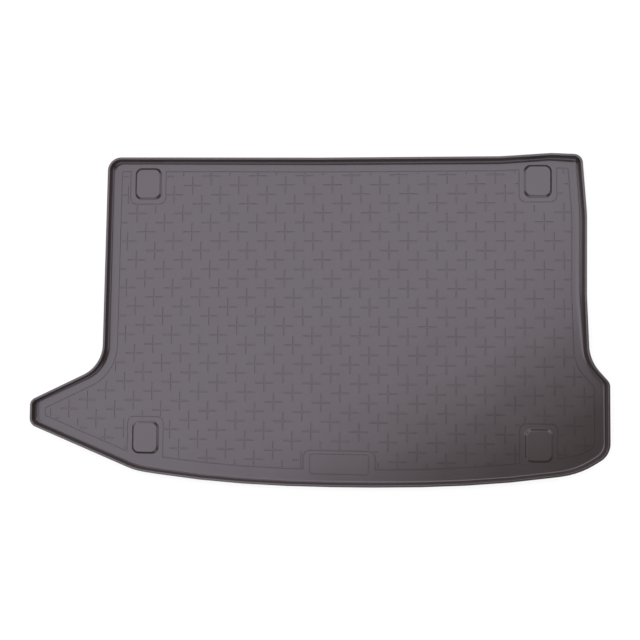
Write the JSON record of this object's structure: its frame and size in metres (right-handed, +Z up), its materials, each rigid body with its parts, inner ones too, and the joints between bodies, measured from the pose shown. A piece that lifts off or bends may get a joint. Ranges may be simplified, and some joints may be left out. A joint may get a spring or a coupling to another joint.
{
  "type": "car boot liner",
  "caption": "Shallow moulded tray that lies in a car boot and keeps its floor clean: low rim, two side wings, a field of grooved crosses and raised pads.",
  "frame": {"origin": "middle of the plan box, on the underside of the floor", "axes": "+X along the width of the boot, from the long left wing to the short right wing; +Y to the rear seat; +Z up"},
  "size_m": [1.207, 0.6932, 0.02],
  "materials": {
    "rubber": "black thermoplastic rubber with a satin moulded face"
  },
  "bodies": {
    "root": {"liner": "rubber"}
  },
  "joints": []
}
